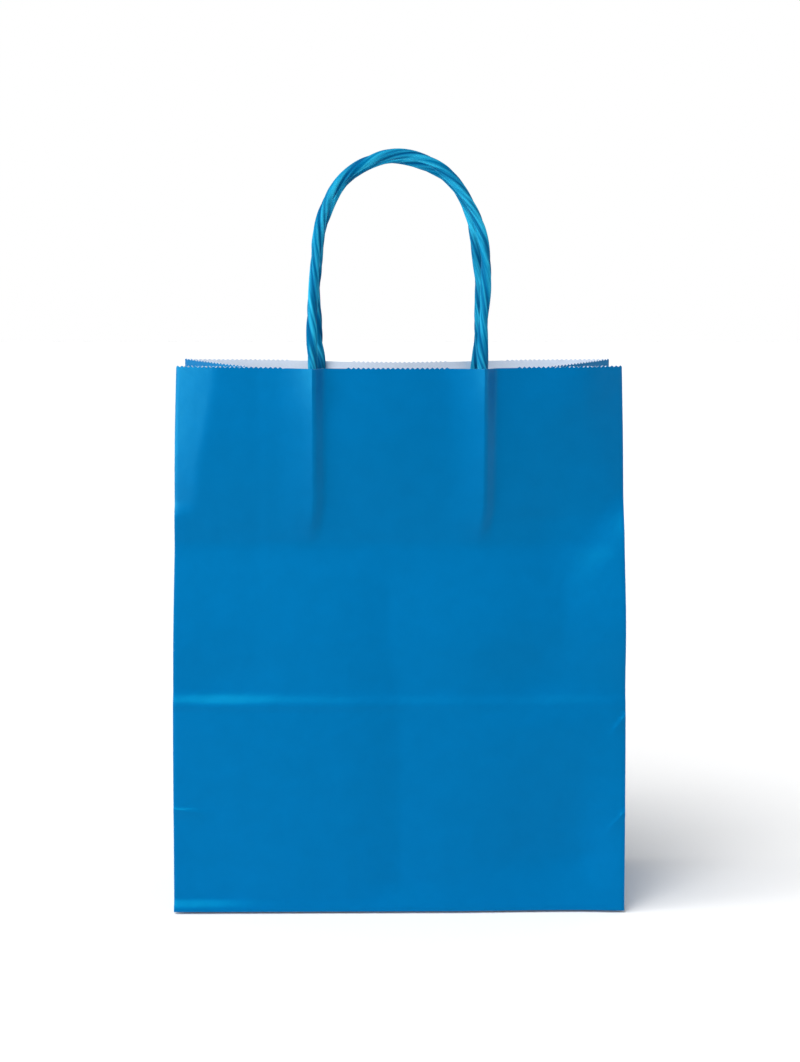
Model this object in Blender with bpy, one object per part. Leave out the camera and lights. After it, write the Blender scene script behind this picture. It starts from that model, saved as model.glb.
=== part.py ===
"""Paper carrier bag with two twisted paper handles.

Metres, +Z up, standing on z = 0 with its front towards -Y. The bag is one folded sheet.
A place on the sheet is given by across, measured from the middle of the flat bag, and up,
measured from the bottom fold. The walls lean in and bend, but keep their length on the sheet.
"""

import math

import bmesh
import bpy
import numpy as np
from mathutils import Vector

# The sheet
BAG_WIDTH = 0.180
BASE_DEPTH = 0.0836
SHEET_HEIGHT = 0.2175
PAPER = 0.0003
CLEARANCE = 0.0003

# How the opened bag stands
MOUTH_DEPTH = 0.060
FRONT_BULGE = 0.0025
BACK_SINK = 0.006
BACK_SHOULDERS = 0.003
LEAN_GROWTH = 1.4
EDGE_ROLL = 2.6

# The cut mouth: teeth, and a straight cut round each handle leg
TOOTH_PITCH = 0.00191
TOOTH_DEPTH = 0.0007
STRAIGHT_CUT = 0.024
STRAIGHT_DROP = 0.00045
MOUTH_DIP = 0.0006
TOOTH_STRIP = 0.003

# The mark left across the front by the bottom when the bag was stored flat
FOLD_MARK_RISE = 0.0004
FOLD_MARK_REACH = 0.005

# The glued bottom
FLAP_OVERLAP = 0.020
FLAP_SETBACK = 0.0004

# The twisted cords
LEG_ACROSS = 0.0330
PLY_RADIUS = 0.0016
PLY_OFFSET = 0.0006
HALF_TWIST = 0.0105
SECTIONS_PER_HALF_TWIST = 4
SECTION_SIDES = 10
ARCH_SPREAD = 0.0338
LEG_RISE = 0.038
ARCH_RISE = 0.0444
FRONT_HANDLE_TILT = 0.06
BACK_HANDLE_TILT = -0.10

# The cord ends, pressed flat between wall and patch
END_LENGTH = 0.060
END_THICKNESS = 0.0018
END_WIDTH = 0.0050
PRESS_LENGTH = 0.004
END_STEP = 0.008
RIDGE_RISE = 0.0007
RIDGE_REACH = 0.007
RIDGE_TAPER = 0.006

# The patches that hold the cord ends
PATCH_WIDTH = 0.100
PATCH_HEIGHT = 0.062
PATCH_DROP = 0.006
PATCH_SLOPE = 0.0035

FRONT, BACK = -1, 1
HALF_WIDTH = BAG_WIDTH / 2
HALF_DEPTH = BASE_DEPTH / 2
BASE_LEVEL = 2 * PAPER
GUSSET_STEPS = 4
INTEGRAL_STEPS = 24
SLOPE_STEP = 1e-5


def clear_scene():
    for obj in list(bpy.data.objects):
        bpy.data.objects.remove(obj, do_unlink=True)


def paper_material(name, colour, roughness):
    material = bpy.data.materials.new(name)
    material.use_nodes = True
    shader = material.node_tree.nodes["Principled BSDF"]
    shader.inputs["Base Color"].default_value = (*colour, 1.0)
    shader.inputs["Roughness"].default_value = roughness
    shader.inputs["Metallic"].default_value = 0.0
    return material


def integral(function, end):
    """Midpoint rule from 0 to end."""
    step = end / INTEGRAL_STEPS
    return step * sum(function((i + 0.5) * step) for i in range(INTEGRAL_STEPS))


# The walls


def lean_in(side, across, up):
    """How far a wall stands inside the edge of the base."""
    share = abs(across) / HALF_WIDTH
    grown = (max(up, 0) / SHEET_HEIGHT) ** LEAN_GROWTH
    corner = (BASE_DEPTH - MOUTH_DEPTH) / 2
    if side == FRONT:
        rolled = share**EDGE_ROLL
        return grown * (corner * rolled - FRONT_BULGE * (1 - rolled))
    sunk = BACK_SINK * math.cos(math.pi / 2 * share) ** 2
    shoulders = BACK_SHOULDERS * math.sin(math.pi * share) ** 2
    return grown * (corner + sunk - shoulders)


def lean_slopes(side, across, up):
    """The lean's slope across and up the sheet."""
    by_across = lean_in(side, across + SLOPE_STEP, up) - lean_in(side, across - SLOPE_STEP, up)
    by_up = lean_in(side, across, up + SLOPE_STEP) - lean_in(side, across, up - SLOPE_STEP)
    return by_across / (2 * SLOPE_STEP), by_up / (2 * SLOPE_STEP)


def wall_normal(side, across, up):
    slope_across, slope_up = lean_slopes(side, across, up)
    return Vector((slope_across, side, slope_up)).normalized()


def wall_point(side, across, up, out=0.0):
    """A place on a wall, shifted out along the wall's normal."""
    lost_across = integral(lambda a: lean_slopes(side, a, up)[0] ** 2 / 2, across)
    lost_up = integral(lambda u: lean_slopes(side, across, u)[1] ** 2 / 2, up)
    on_wall = Vector(
        (
            across - lost_across,
            side * (HALF_DEPTH - lean_in(side, across, up)),
            BASE_LEVEL + up - lost_up,
        )
    )
    return on_wall + out * wall_normal(side, across, up)


def cord_ridge(across, up):
    """How far a wall is pushed out over a glued cord end."""
    beside = abs(abs(across) - LEG_ACROSS) / RIDGE_REACH
    above_foot = (up - (SHEET_HEIGHT - END_LENGTH - RIDGE_TAPER)) / RIDGE_TAPER
    if beside >= 1 or above_foot <= 0:
        return 0.0
    return RIDGE_RISE * math.cos(math.pi / 2 * beside) ** 2 * min(1.0, above_foot)


def fold_mark(side, up):
    """The soft ridge across the front, as high up as the base is deep."""
    if side == BACK:
        return 0.0
    return FOLD_MARK_RISE * max(0.0, 1 - abs(up - BASE_DEPTH) / FOLD_MARK_REACH)


# The side gussets: a centre crease folded in, and two creases at 45 degrees up from the base


def crease_x(up):
    """Distance of the centre crease from the middle plane, from the apex of the base up."""
    edge = (wall_point(FRONT, HALF_WIDTH, up).x + wall_point(BACK, HALF_WIDTH, up).x) / 2
    half_open = HALF_DEPTH - lean_in(FRONT, HALF_WIDTH, up)
    return edge - math.sqrt(HALF_DEPTH**2 - half_open**2)


def gusset_apex():
    """Where the 45 degree creases meet the centre crease, on the +X side."""
    x = crease_x(HALF_DEPTH)
    rise = math.sqrt(HALF_DEPTH**2 - (HALF_WIDTH - x) ** 2)
    return Vector((x, 0, BASE_LEVEL + rise))


def crease_point(up):
    """A place on the centre line of the +X gusset."""
    apex = gusset_apex()
    if up <= HALF_DEPTH:
        return Vector((HALF_WIDTH, 0, BASE_LEVEL)).lerp(apex, up / HALF_DEPTH)
    x = crease_x(up)
    rise = math.sqrt((up - HALF_DEPTH) ** 2 - (apex.x - x) ** 2)
    return Vector((x, 0, apex.z + rise))


def gusset_point(hand, side, across, up):
    """A place on one half of a gusset, hand +1 at +X and -1 at -X."""
    inward = HALF_WIDTH - abs(across)
    edge = wall_point(side, HALF_WIDTH, up)
    middle = crease_point(up)
    if up >= HALF_DEPTH or up <= 0:
        point = edge.lerp(middle, inward / HALF_DEPTH)
    else:
        base_corner = Vector((HALF_WIDTH, side * HALF_DEPTH, BASE_LEVEL))
        on_diagonal = base_corner.lerp(gusset_apex(), up / HALF_DEPTH)
        if inward <= up:
            point = edge.lerp(on_diagonal, inward / up)
        else:
            point = on_diagonal.lerp(middle, (inward - up) / (HALF_DEPTH - up))
    return Vector((hand * point.x, point.y, point.z))


# The bag's sheet


def cut_height(panel, across):
    """Height of the mouth's cut edge, a little lower in the middle of a wall."""
    dip = 0.0
    if panel[0] == "wall":
        dip = MOUTH_DIP * (1 - (across / HALF_WIDTH) ** 2)
    if abs(abs(across) - LEG_ACROSS) <= STRAIGHT_CUT / 2 + SLOPE_STEP:
        return SHEET_HEIGHT - dip - STRAIGHT_DROP
    along_tooth = abs(across) / TOOTH_PITCH % 1
    return SHEET_HEIGHT - dip - TOOTH_DEPTH * abs(2 * along_tooth - 1)


def cut_corners(start, end):
    """Where the cut turns between two columns, in order from start to end."""
    low, high = sorted((start, end))
    half_pitch = TOOTH_PITCH / 2
    margin = half_pitch / 4
    first, last = math.ceil(low / half_pitch), math.floor(high / half_pitch)
    places = [
        k * half_pitch
        for k in range(first, last + 1)
        if abs(abs(k * half_pitch) - LEG_ACROSS) > STRAIGHT_CUT / 2 + margin
    ]
    for leg in (-LEG_ACROSS, LEG_ACROSS):
        places += [leg - STRAIGHT_CUT / 2, leg + STRAIGHT_CUT / 2]
    between = sorted(p for p in places if low + margin < p < high - margin)
    return between if start < end else between[::-1]


def sheet_point(panel, across, up):
    kind, hand, side = panel
    if kind == "gusset":
        return gusset_point(hand, side, across, up)
    return wall_point(side, across, up, cord_ridge(across, up) + fold_mark(side, up))


def inner_columns():
    """Places between the middle of a wall and the ridge of its cord."""
    return [(LEG_ACROSS - RIDGE_REACH) * k / 3 for k in (1, 2)]


def wall_columns():
    """Places across a wall, closer together over the cord ridges."""
    ridge = [LEG_ACROSS + step * RIDGE_REACH for step in (-1, -0.5, 0, 0.5, 1)]
    outer_gap = HALF_WIDTH - LEG_ACROSS - RIDGE_REACH
    inner = inner_columns()
    outer = [HALF_WIDTH - outer_gap * k / 6 for k in (5, 4, 3, 2, 1, 0)]
    right = inner + ridge + outer
    return [-a for a in right[::-1]] + [0.0] + right


def ring_columns():
    """Columns round the whole sheet, as (panel, across), starting at the front left edge."""
    inward = [HALF_DEPTH * k / GUSSET_STEPS for k in range(GUSSET_STEPS + 1)]
    walls = wall_columns()
    panels = (
        (("wall", 0, FRONT), walls),
        (("gusset", 1, FRONT), [HALF_WIDTH - i for i in inward]),
        (("gusset", 1, BACK), [HALF_WIDTH - i for i in inward[::-1]]),
        (("wall", 0, BACK), walls[::-1]),
        (("gusset", -1, BACK), [i - HALF_WIDTH for i in inward]),
        (("gusset", -1, FRONT), [i - HALF_WIDTH for i in inward[::-1]]),
    )
    return [(panel, across) for panel, places in panels for across in places[:-1]]


def sheet_rows():
    """Heights of the grid's rows, with rows on the fold mark and at the foot of the ridges."""
    low = [HALF_DEPTH * k / GUSSET_STEPS for k in range(GUSSET_STEPS + 1)]
    mark = [BASE_DEPTH + step * FOLD_MARK_REACH for step in (-1, 0, 1)]
    ridge_foot = SHEET_HEIGHT - END_LENGTH - RIDGE_TAPER
    below = [mark[-1] + (ridge_foot - mark[-1]) * k / 3 for k in (1, 2, 3)]
    ridge_full = ridge_foot + RIDGE_TAPER
    top = SHEET_HEIGHT - TOOTH_STRIP
    above = [ridge_full + (top - ridge_full) * k / 3 for k in range(4)]
    return low + [(HALF_DEPTH + mark[0]) / 2] + mark + below + above


def sheet_mesh():
    """The outer face of the sheet: grid rows, a last strip with the cut teeth, and the base."""
    bm = bmesh.new()
    columns = ring_columns()
    count = len(columns)
    grid = [
        [bm.verts.new(sheet_point(panel, across, up)) for panel, across in columns]
        for up in sheet_rows()
    ]
    for lower, upper in zip(grid, grid[1:]):
        for c in range(count):
            d = (c + 1) % count
            bm.faces.new((lower[c], lower[d], upper[d], upper[c]))
    mouth = [
        bm.verts.new(sheet_point(panel, across, cut_height(panel, across)))
        for panel, across in columns
    ]
    for c, (panel, across) in enumerate(columns):
        d = (c + 1) % count
        teeth = [
            bm.verts.new(sheet_point(panel, place, cut_height(panel, place)))
            for place in cut_corners(across, columns[d][1])
        ]
        bm.faces.new([grid[-1][c], grid[-1][d], mouth[d], *teeth[::-1], mouth[c]])
    close_base(bm, grid[0])
    fold_diagonals(bm, grid, columns)
    return to_mesh(bm, "bag_body")


def close_base(bm, ring):
    """The base, in strips from the front wall to the back wall, with a fan at each end."""
    across, sides = len(wall_columns()) - 1, 2 * GUSSET_STEPS
    front = ring[: across + 1]
    right = ring[across : across + sides + 1]
    back = ring[across + sides : 2 * across + sides + 1][::-1]
    left = (ring[2 * across + sides :] + ring[:1])[::-1]
    for k in range(1, across - 1):
        bm.faces.new((front[k], back[k], back[k + 1], front[k + 1]))
    for near, far, side, turn in (
        (front[-2], back[-2], right, -1),
        (front[1], back[1], left, 1),
    ):
        for k in range(sides):
            corner = near if k < GUSSET_STEPS else far
            bm.faces.new((corner, *side[k : k + 2][::turn]))
        bm.faces.new((near, *(side[GUSSET_STEPS], far)[::turn]))


def fold_diagonals(bm, grid, columns):
    """Splits the cells on the 45 degree creases along the crease."""
    for r in range(GUSSET_STEPS):
        for c, (panel, across) in enumerate(columns):
            kind, hand, side = panel
            if kind != "gusset":
                continue
            d = (c + 1) % len(columns)
            near, far = HALF_WIDTH - abs(across), HALF_WIDTH - abs(columns[d][1])
            if abs(min(near, far) - HALF_DEPTH * r / GUSSET_STEPS) > SLOPE_STEP:
                continue
            low, high = (c, d) if near < far else (d, c)
            start, end = grid[r][low], grid[r + 1][high]
            bmesh.utils.face_split(shared_face(start, end), start, end)


def shared_face(first, second):
    return next(face for face in first.link_faces if second in face.verts)


def to_mesh(bm, name):
    mesh = bpy.data.meshes.new(name)
    bm.to_mesh(mesh)
    bm.free()
    return mesh


def thicken(obj):
    """Gives a sheet its thickness, inwards from the modelled face."""
    solidify = obj.modifiers.new("paper", "SOLIDIFY")
    solidify.thickness = PAPER
    solidify.offset = -1
    solidify.use_even_offset = True
    solidify.material_offset = 1
    solidify.material_offset_rim = 1


def add_object(name, mesh, materials, parent):
    obj = bpy.data.objects.new(name, mesh)
    bpy.context.scene.collection.objects.link(obj)
    for material in materials:
        mesh.materials.append(material)
    obj.parent = parent
    return obj


# The bottom: two flaps folded in and glued, the front one last


def flap_mesh(name, side, bottom, top):
    """A flap with 45 degree ends, from its fold at one wall to past the middle of the base."""
    hinge = HALF_DEPTH - FLAP_SETBACK
    free = -FLAP_OVERLAP / 2
    wide = HALF_WIDTH - FLAP_SETBACK
    narrow = wide - (hinge - free)
    outline = [(-wide, hinge), (wide, hinge), (narrow, free), (-narrow, free)]
    bm = bmesh.new()
    base = bm.faces.new([bm.verts.new((x, side * y, bottom)) for x, y in outline])
    raised = bmesh.ops.extrude_face_region(bm, geom=[base])["geom"]
    moved = [item for item in raised if isinstance(item, bmesh.types.BMVert)]
    bmesh.ops.translate(bm, verts=moved, vec=(0, 0, top - bottom))
    bmesh.ops.recalc_face_normals(bm, faces=bm.faces)
    return to_mesh(bm, name)


def add_flaps(body, material, parent):
    """Joins both flaps to the base from below, the front one a layer lower than the back one."""
    layers = (
        (BACK, "back_flap_shape", PAPER, BASE_LEVEL + 0.4 * PAPER),
        (FRONT, "front_flap_shape", 0.0, BASE_LEVEL + 0.6 * PAPER),
    )
    for side, name, bottom, top in layers:
        mesh = flap_mesh(name, side, bottom, top)
        flap = add_object(name, mesh, [material], parent)
        flap.hide_render = True
        flap.display_type = "WIRE"
        union = body.modifiers.new(name, "BOOLEAN")
        union.operation = "UNION"
        union.object = flap


# The handles: two plies twisted into a cord, bent into an arch


def cord_depth(press):
    """Distance of the cord's centre inside the unpressed wall, press 0 round and 1 flat."""
    half_thick = PLY_RADIUS + press * (END_THICKNESS / 2 - PLY_RADIUS)
    return PAPER + CLEARANCE + half_thick - RIDGE_RISE


def glued_stretch(side, hand):
    """(point, outward, press) up one glued end, from its cut foot to the mouth."""
    foot = SHEET_HEIGHT - END_LENGTH
    pressed_to = SHEET_HEIGHT - PRESS_LENGTH
    count = round((pressed_to - foot) / END_STEP)
    heights = [foot + (pressed_to - foot) * k / count for k in range(count + 1)]
    stretch = [(up, 1.0) for up in heights] + [(SHEET_HEIGHT, 0.0)]
    across = hand * LEG_ACROSS
    return [
        (wall_point(side, across, up, -cord_depth(press)), wall_normal(side, across, up), press)
        for up, press in stretch
    ]


def arch_points(side, tilt):
    """The free arch from the left leg to the right one, in even steps of the twist."""
    mouth = wall_point(side, LEG_ACROSS, SHEET_HEIGHT, -cord_depth(0.0))
    fine = 60
    leg = [
        (mouth.x + (ARCH_SPREAD - mouth.x) * math.sin(math.pi / 2 * k / fine), LEG_RISE * k / fine)
        for k in range(fine)
    ]
    turn = [math.pi / 2 * k / fine for k in range(fine + 1)]
    bend = [
        (ARCH_SPREAD * math.cos(a), LEG_RISE + ARCH_RISE * math.sin(a)) for a in turn
    ]
    right = leg + bend
    outline = np.array([(-x, z) for x, z in right] + right[-2::-1])
    lengths = np.append(0, np.cumsum(np.linalg.norm(np.diff(outline, axis=0), axis=1)))
    half_twists = round(lengths[-1] / HALF_TWIST)
    places = np.linspace(0, lengths[-1], half_twists * SECTIONS_PER_HALF_TWIST + 1)
    xs = np.interp(places, lengths, outline[:, 0])
    rises = np.interp(places, lengths, outline[:, 1])
    return [
        Vector((x, mouth.y + tilt * rise, mouth.z + rise)) for x, rise in zip(xs, rises)
    ]


def ply_outline(angle):
    """Radius of the two plies' joint outline, at an angle from the line through their centres."""
    along = PLY_OFFSET * abs(math.cos(angle))
    beside = PLY_OFFSET * math.sin(angle)
    return along + math.sqrt(PLY_RADIUS**2 - beside**2)


def cord_sections(side, tilt):
    """(centre, outward, twist, press) from one glued foot over the arch to the other."""
    left = [(point, out, 0.0, press) for point, out, press in glued_stretch(side, -1)]
    right = [(point, out, 0.0, press) for point, out, press in glued_stretch(side, 1)]
    arch = arch_points(side, tilt)
    step = math.pi / SECTIONS_PER_HALF_TWIST
    free = []
    for k, point in enumerate(arch):
        at_mouth = left[-1][1] if k < len(arch) / 2 else right[-1][1]
        risen = min(1.0, (point.z - arch[0].z) / LEG_RISE)
        free.append((point, at_mouth.lerp(Vector((0, side, 0)), risen), k * step, 0.0))
    return left + free[1:-1] + right[::-1]


def handle_mesh(name, side, tilt):
    sections = cord_sections(side, tilt)
    bm = bmesh.new()
    rings = []
    for i, (centre, outward, twist, press) in enumerate(sections):
        before, after = sections[max(i - 1, 0)][0], sections[min(i + 1, len(sections) - 1)][0]
        tangent = (after - before).normalized()
        normal = (outward - outward.dot(tangent) * tangent).normalized()
        beside = tangent.cross(normal)
        flat = 1 + press * (END_THICKNESS / (2 * PLY_RADIUS) - 1)
        wide = 1 + press * (END_WIDTH / (2 * (PLY_RADIUS + PLY_OFFSET)) - 1)
        ring = []
        for k in range(SECTION_SIDES):
            angle = 2 * math.pi * k / SECTION_SIDES
            radius = ply_outline(angle)
            along = radius * wide * math.cos(angle + twist)
            up = radius * flat * math.sin(angle + twist)
            ring.append(bm.verts.new(centre + along * beside + up * normal))
        rings.append(ring)
    skin_rings(bm, rings)
    mesh = to_mesh(bm, name)
    mesh.shade_smooth()
    return mesh


def skin_rings(bm, rings):
    for lower, upper in zip(rings, rings[1:]):
        for k in range(SECTION_SIDES):
            m = (k + 1) % SECTION_SIDES
            bm.faces.new((lower[k], lower[m], upper[m], upper[k]))
    bm.faces.new(rings[0][::-1])
    bm.faces.new(rings[-1])
    bmesh.ops.recalc_face_normals(bm, faces=bm.faces)


# The patches glued over the cord ends


def patch_depth(across, up):
    """Distance of the patch's outer face inside the wall's unpressed outer face."""
    flat = PAPER + CLEARANCE
    over_cord = cord_depth(1.0) + END_THICKNESS / 2 + CLEARANCE - flat
    beside = abs(abs(across) - LEG_ACROSS) - (END_WIDTH / 2 + CLEARANCE)
    below = (SHEET_HEIGHT - END_LENGTH - CLEARANCE) - up
    away = max(beside, below, 0.0)
    return flat + over_cord * max(0.0, 1 - away / PATCH_SLOPE)


def patch_grid():
    """Columns and rows of a patch, with lines where the bulges over the cords begin and end."""
    flat_reach = END_WIDTH / 2 + CLEARANCE
    reaches = (-flat_reach - PATCH_SLOPE, -flat_reach, flat_reach, flat_reach + PATCH_SLOPE)
    right = inner_columns() + [LEG_ACROSS + reach for reach in reaches] + [PATCH_WIDTH / 2]
    columns = [-a for a in right[::-1]] + [0.0] + right
    top = SHEET_HEIGHT - PATCH_DROP
    cord_foot = SHEET_HEIGHT - END_LENGTH - CLEARANCE
    climbs = [cord_foot + (top - cord_foot) * k / 4 for k in range(5)]
    return columns, [top - PATCH_HEIGHT, cord_foot - PATCH_SLOPE, *climbs]


def patch_mesh(name, side):
    columns, rows = patch_grid()
    bm = bmesh.new()
    grid = [
        [bm.verts.new(wall_point(side, a, up, -patch_depth(a, up))) for a in columns]
        for up in rows
    ]
    for lower, upper in zip(grid, grid[1:]):
        for c in range(len(columns) - 1):
            quad = (lower[c], lower[c + 1], upper[c + 1], upper[c])
            bm.faces.new(quad if side == FRONT else quad[::-1])
    return to_mesh(bm, name)


def add_root(body):
    """An empty that centres the bag's outer box on the origin."""
    lowest = min(v.co.y for v in body.vertices)
    highest = max(v.co.y for v in body.vertices)
    root = bpy.data.objects.new("paper_bag", None)
    root.location = (0, -(lowest + highest) / 2, 0)
    bpy.context.scene.collection.objects.link(root)
    return root


def main():
    clear_scene()
    blue = paper_material("blue_printed_paper", (0.003, 0.178, 0.462), 0.55)
    white = paper_material("white_kraft_paper", (0.80, 0.83, 0.86), 0.75)
    cord_blue = paper_material("blue_paper_cord", (0.005, 0.235, 0.520), 0.60)
    body_mesh = sheet_mesh()
    root = add_root(body_mesh)
    body = add_object("bag_body", body_mesh, [blue, white], root)
    thicken(body)
    add_flaps(body, blue, root)
    for side, name, tilt in (
        (FRONT, "front_handle", FRONT_HANDLE_TILT),
        (BACK, "back_handle", BACK_HANDLE_TILT),
    ):
        add_object(name, handle_mesh(name, side, tilt), [cord_blue], root)
        patch_name = name + "_patch"
        patch = add_object(patch_name, patch_mesh(patch_name, side), [white], root)
        thicken(patch)


main()
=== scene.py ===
import math

import bpy
import numpy as np
from mathutils import Matrix, Vector


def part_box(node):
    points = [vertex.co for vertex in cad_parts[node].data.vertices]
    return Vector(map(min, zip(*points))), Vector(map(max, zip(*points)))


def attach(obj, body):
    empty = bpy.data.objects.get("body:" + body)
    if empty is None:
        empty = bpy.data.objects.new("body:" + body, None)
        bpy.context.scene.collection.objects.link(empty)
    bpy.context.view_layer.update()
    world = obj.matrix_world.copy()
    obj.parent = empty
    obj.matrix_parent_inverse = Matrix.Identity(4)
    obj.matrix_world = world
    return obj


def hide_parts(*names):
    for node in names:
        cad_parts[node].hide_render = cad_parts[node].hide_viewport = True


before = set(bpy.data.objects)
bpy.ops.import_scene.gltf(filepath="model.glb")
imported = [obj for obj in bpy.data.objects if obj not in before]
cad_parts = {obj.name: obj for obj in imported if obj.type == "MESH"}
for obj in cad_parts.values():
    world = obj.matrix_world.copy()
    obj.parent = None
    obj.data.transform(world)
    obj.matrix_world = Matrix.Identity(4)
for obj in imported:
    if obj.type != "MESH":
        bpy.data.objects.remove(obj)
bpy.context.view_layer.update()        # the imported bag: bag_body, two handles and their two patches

# A paper carrier bag: one folded sheet with a toothed mouth, two twisted paper cords as
# handles, and a white patch over the glued ends of each.

bpy.ops.object.select_all(action="DESELECT")

MM = 0.001
FRONT, BACK = -1, 1

# The bag as it was cut and folded, in metres. A place on the flat sheet is (along, up), and
# on a wall (across, up), with across measured from the wall's middle.
BAG_WIDTH = 0.180
BASE_DEPTH = 0.0836
SHEET_HEIGHT = 0.2175
HALF_WIDTH = BAG_WIDTH / 2
HALF_DEPTH = BASE_DEPTH / 2
SHEET_LENGTH = 2 * (BAG_WIDTH + BASE_DEPTH)
PAPER = 0.20 * MM
BASE_LEVEL = 0.85 * MM   # height of the bottom fold, over the layers of the bottom
FOLD_ROUND = 0.50 * MM
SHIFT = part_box("bag_body")[1].y - HALF_DEPTH

# How the walls lean in towards the mouth
CORNER_LEAN = 11.8 * MM
FRONT_BULGE = 2.5 * MM
BACK_SINK = 6.0 * MM
BACK_SHOULDERS = 3.0 * MM
LEAN_GROWTH = 1.4
EDGE_ROLL = 2.6
GATHER = 0.0065          # share of the width that the ridges take up at the mouth
WAVE_HEIGHT = 0.9 * MM   # soft waves of the gussets
WAVE_LENGTH = 30 * MM

# The serrated cut, straight for a stretch round each handle leg
TOOTH_DEPTH = 0.62 * MM
STRAIGHT_CUTS = ((-45.2 * MM, -21.0 * MM), (18.8 * MM, 46.8 * MM))
STRAIGHT_DROP = 0.45 * MM
MOUTH_DIP = 0.60 * MM

# Folds of the flat sheet, from the rear left corner round to it again, and teeth between them
FOLDS = np.cumsum([0, HALF_DEPTH, HALF_DEPTH, BAG_WIDTH, HALF_DEPTH, HALF_DEPTH, BAG_WIDTH])
PANEL_TEETH = (22, 22, 94, 22, 22, 94)
BESIDE_FOLD = 0.42 * MM
SEAM_EDGE = 77.3 * MM    # across the back wall, where the glued seam ends
SEAM_STEP = 0.16 * MM

# Ticks at the side edges of the front wall, from (across, up) to (across, up)
TICK_HEIGHT = 0.50 * MM
TICK_STEEP = 0.9 * MM    # reach of the flank that catches the light
TICK_EASY = 3.6 * MM
STORAGE_CREASES = (
    ((90 * MM, 79.6 * MM), (82.5 * MM, 70.4 * MM)),
    ((90 * MM, 40.9 * MM), (80.5 * MM, 30 * MM)),
    ((-90 * MM, 41.4 * MM), (-74 * MM, 40.6 * MM)),
)

# The ridges that the pressed cord ends raise in the walls
RIDGES = (-34.4 * MM, 32.7 * MM)
RIDGE_SHARES = (1.2, 1.45)
BACK_RIDGES = (-33.0 * MM, 33.0 * MM)
CORD_BESIDE = -0.2 * MM  # from a front cord to its ridge's crest

# The cords: two strands side by side, pressed flat at their ends
END_LENGTH = 60 * MM
END_TOP = SHEET_HEIGHT - 8 * MM
CORD_RADIUS = 1.90 * MM
STRAND_OFFSET = 0.24 * MM
HALF_TWIST = 23 * MM
CORD_SIDES = 56
CORD_STEP = 0.7 * MM
PRESSED_HALF = 0.9 * MM
PRESSED_WIDE = 2.7 * MM
PRESSED_SPREAD = 0.18
END_GAP = 0.38 * MM      # between a pressed end and the wall, clear of its ridge's flanks

# The patches over the cord ends
PATCH_HALF_WIDTH = 50 * MM
PATCH_HEIGHT = 62 * MM
PATCH_TOP = SHEET_HEIGHT - 6 * MM
PATCH_GAP = 0.12 * MM
PATCH_OVER_CORD = 2 * PRESSED_HALF + 1.0 * MM

# The bottom: two flaps folded over each other, and the inside that shows in the bag
FLAP_INSET = 0.8 * MM
FLAP_PAST_MIDDLE = 10 * MM
FLAP_LEVELS = (0.02 * MM, 0.20 * MM)
FLAP_THICKNESS = 0.16 * MM
FLOOR_INSET = 0.5 * MM
FLOOR_LEVEL = 0.95 * MM
TRIANGLE_STEP = 0.2 * MM
LAP_STEP = 0.15 * MM
EDGE_LIFT = 0.45 * MM
TURN_UP = 9 * MM         # stretch over which flaps and inside turn up to the wall's foot

# The camera, matched to the photograph: place in metres, turns in degrees, lens in mm
CAMERA_PLACE = (-0.0154, -0.9401, 0.2615)
CAMERA_YAW, CAMERA_PITCH, CAMERA_ROLL = -0.98, -6.825, 0.08
CAMERA_LENS = 78.55


# Small helpers


def hump(place, centre, reach_before, reach_after=None):
    """1 at the centre, falling smoothly to 0 at either reach."""
    reach = np.where(place < centre, reach_before, reach_after or reach_before)
    return np.cos(np.pi / 2 * np.clip(np.abs(place - centre) / reach, 0, 1)) ** 2


def tent(place, centre, reach_before, reach_after, power):
    """1 at the centre with a crease there, easing out to 0 at either reach."""
    reach = np.where(place < centre, reach_before, reach_after)
    return np.clip(1 - np.abs(place - centre) / reach, 0, 1) ** power


def rise(place, start, end):
    """Smooth step from 0 at start to 1 at end."""
    share = np.clip((place - start) / (end - start), 0, 1)
    return share * share * (3 - 2 * share)


# The shape of the folded sheet


def lean_in(side, across, up):
    """How far a wall stands inside the edge of the base."""
    share = np.abs(across) / HALF_WIDTH
    grown = (np.maximum(up, 0) / SHEET_HEIGHT) ** LEAN_GROWTH
    if side == FRONT:
        rolled = share**EDGE_ROLL
        return grown * (CORNER_LEAN * rolled - FRONT_BULGE * (1 - rolled))
    sunk = BACK_SINK * np.cos(np.pi / 2 * share) ** 2
    shoulders = BACK_SHOULDERS * np.sin(np.pi * share) ** 2
    return grown * (CORNER_LEAN + sunk - shoulders)


def lean_slopes(side, across, up):
    step = 1e-5
    by_across = lean_in(side, across + step, up) - lean_in(side, across - step, up)
    by_up = lean_in(side, across, up + step) - lean_in(side, across, up - step)
    return by_across / (2 * step), by_up / (2 * step)


def lost_length(slope_at, reach):
    """What a bent line loses of its length seen straight on."""
    shares = (np.arange(24) + 0.5) / 24
    return sum(slope_at(share * reach) ** 2 for share in shares) / 48 * reach


def wall_place(side, across, up, out=0.0):
    """Where a place on a wall stands, moved out from its plain curve."""
    across, up, out = np.broadcast_arrays(*(np.asarray(v, float) for v in (across, up, out)))
    lost_across = lost_length(lambda a: lean_slopes(side, a, up)[0], across)
    lost_up = lost_length(lambda u: lean_slopes(side, across, u)[1], up)
    depth = side * (HALF_DEPTH - lean_in(side, across, up) + out)
    place_x = (across - lost_across) * (1 - GATHER * rise(up, 60 * MM, 165 * MM))
    return np.stack([place_x, depth, BASE_LEVEL + up - lost_up], -1)


# Soft forms of the front wall. The functions of (a, u) work in millimetres across and up.


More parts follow.
